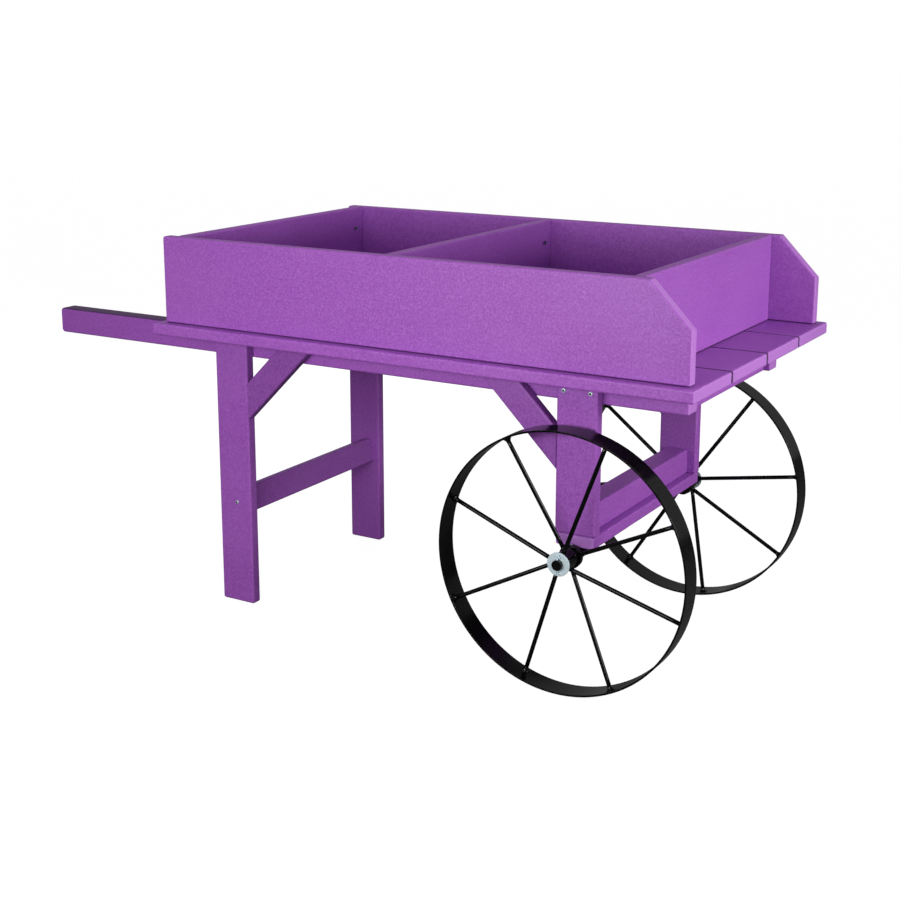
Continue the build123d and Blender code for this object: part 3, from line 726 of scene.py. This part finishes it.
class CART_OT_cotters(Operator):
    """Build the two folded-wire cotter pins in the axle's ends"""

    bl_idname = "cart.cotters"
    bl_label = "Add Cotter Pins"

    def execute(self, context):
        wire = context.scene.cart_fastener.wire_radius
        zinc = bpy.data.materials["bright zinc"]
        axle_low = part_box("axle")[0]
        for side in SIDES:
            node = f"cotter_pin_{side}"
            low, high = (np.array(corner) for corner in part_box(node))
            x, y = (low[0] + high[0]) / 2, (low[1] + high[1]) / 2
            eye = min((high[0] - low[0]) / 2 - wire, EYE_RADIUS)
            eye_z = high[2] - wire - eye
            gap = wire * 1.03
            bend = axle_low[2] - 0.001
            # each leg drops straight, then leans out below the bend by the 1.4th power of its drop
            leg_z = np.linspace(low[2] + wire, eye_z - eye * 0.98, LEG_ROWS)
            drop = np.clip(bend - leg_z, 0.0, None)
            lean = gap + (high[0] - x - wire - gap) * (drop / drop.max()) ** 1.4
            # the eye is a ring that is open below, where the two legs leave it
            angle = np.radians(np.linspace(-90 + EYE_MOUTH / 2, 270 - EYE_MOUTH / 2, EYE_ROWS))
            loop = np.stack([x + eye * np.cos(angle), np.full_like(angle, y), eye_z + eye * np.sin(angle)],
                            axis=1)
            right = np.stack([x + lean, np.full_like(leg_z, y), leg_z], axis=1)
            left = np.stack([x - lean, np.full_like(leg_z, y), leg_z], axis=1)[::-1]
            path = np.concatenate([right, loop, left])
            radius = np.full(len(path), wire)
            radius[[0, -1]] = wire * 0.7
            sheet = capped(sweep(path, radius, WIRE_SIDES, np.array([0.0, 1.0, 0.0])))
            piece = add_piece(f"folded_{node}", [sheet], zinc, "cart")
            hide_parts(node)
        return {"FINISHED"}


class CART_OT_stage(Operator):
    """Set the pale floor, the soft lights and the camera"""

    bl_idname = "cart.stage"
    bl_label = "Add Stage"

    def soft_light(self, name, place, aim, size, power, mirrored=True):
        lamp = bpy.data.lights.new(name, "AREA")
        lamp.shape = "RECTANGLE"
        lamp.size, lamp.size_y = size
        lamp.energy = power
        light = bpy.data.objects.new(name, lamp)
        light.location = place
        direction = np.array(aim) - np.array(place)
        yaw = math.atan2(-direction[0], direction[1])
        pitch = math.atan2(direction[2], math.hypot(direction[0], direction[1]))
        light.rotation_euler = (math.pi / 2 + pitch, 0.0, yaw)
        light.visible_camera = False
        light.visible_glossy = mirrored
        bpy.context.scene.collection.objects.link(light)

    def execute(self, context):
        look = context.scene.cart_stage
        paint = Finish("pale floor")
        tone = paint.noise(paint.place(), 1.2, 2.0, 0.5)
        shade = tuple(channel * 0.985 for channel in look.floor_colour)
        seen = paint.node("ShaderNodeLightPath", out="Is Camera Ray")
        glow = paint.mix(seen, (0.0, 0.0, 0.0, 1.0), (look.floor_lift,) * 3 + (1.0,))
        paint.surface(Base_Color=paint.mix(tone, opaque(look.floor_colour), opaque(shade)), Roughness=0.8,
                      Emission_Color=glow, Emission_Strength=1.0)
        corner = np.array([(-1, -1, 0), (1, -1, 0), (1, 1, 0), (-1, 1, 0)]) * FLOOR_REACH
        mesh = bpy.data.meshes.new("floor")
        mesh.from_pydata(corner.tolist(), [], [(0, 1, 2, 3)])
        mesh.materials.append(paint.material)
        floor = bpy.data.objects.new("floor", mesh)
        context.scene.collection.objects.link(floor)

        self.soft_light("key light", (0.35, -3.0, 1.42), (0.1, 0.0, 1.15), (2.4, 0.6), look.key_power)
        self.soft_light("top light", (0.0, -0.2, 4.2), (0.0, 0.0, 1.0), (4.0, 3.0), look.top_power)
        self.soft_light("back light", (-2.2, 3.2, 1.7), (-0.2, 0.2, 0.8), (3.0, 1.4), look.back_power,
                        mirrored=False)
        self.soft_light("end light", (3.3, -0.3, 1.35), (1.0, 0.0, 0.95), (1.8, 0.7), look.end_power)

        world = bpy.data.worlds.new("white room")
        world.use_nodes = True
        tree = world.node_tree
        seen = tree.nodes.new("ShaderNodeLightPath")
        level = tree.nodes.new("ShaderNodeMix")
        level.inputs[2].default_value = look.sky
        level.inputs[3].default_value = 1.0
        tree.links.new(seen.outputs["Is Camera Ray"], level.inputs[0])
        tree.links.new(level.outputs[0], tree.nodes["Background"].inputs["Strength"])
        tree.nodes["Background"].inputs["Color"].default_value = (1.0, 1.0, 1.0, 1.0)
        context.scene.world = world
        context.scene.view_settings.view_transform = "Standard"

        lens = bpy.data.cameras.new("camera")
        lens.lens = look.lens
        lens.sensor_width = 36.0
        lens.shift_x, lens.shift_y = LENS_SHIFT
        lens.clip_end = 200.0
        camera = bpy.data.objects.new("camera", lens)
        camera.location = CAMERA_PLACE
        camera.rotation_euler = (math.radians(90.0 - CAMERA_DIP), 0.0, math.radians(CAMERA_TURN))
        context.scene.collection.objects.link(camera)
        context.scene.camera = camera
        return {"FINISHED"}


OPERATORS = [CART_OT_lumber, CART_OT_metal, CART_OT_spokes, CART_OT_screws, CART_OT_cotters, CART_OT_stage]


class CART_PT_panel(Panel):
    """Sizes, colours and pieces of the cart"""

    bl_label = "Push Vending Cart"
    bl_idname = "CART_PT_panel"
    bl_space_type = "VIEW_3D"
    bl_region_type = "UI"
    bl_category = "Cart"

    def draw(self, context):
        for operator in OPERATORS:
            self.layout.operator(operator.bl_idname)
        for name, group in SETTINGS.items():
            box = self.layout.box()
            for key in group.__annotations__:
                box.prop(getattr(context.scene, name), key)


def register():
    for name, group in SETTINGS.items():
        bpy.utils.register_class(group)
        setattr(bpy.types.Scene, name, PointerProperty(type=group))
    for item in (*OPERATORS, CART_PT_panel):
        bpy.utils.register_class(item)


def unregister():
    for item in (CART_PT_panel, *reversed(OPERATORS)):
        bpy.utils.unregister_class(item)
    for name, group in SETTINGS.items():
        delattr(bpy.types.Scene, name)
        bpy.utils.unregister_class(group)


def main():
    register()
    for operator in OPERATORS:
        group, name = operator.bl_idname.split(".")
        getattr(getattr(bpy.ops, group), name)()


if __name__ == "__main__":
    main()
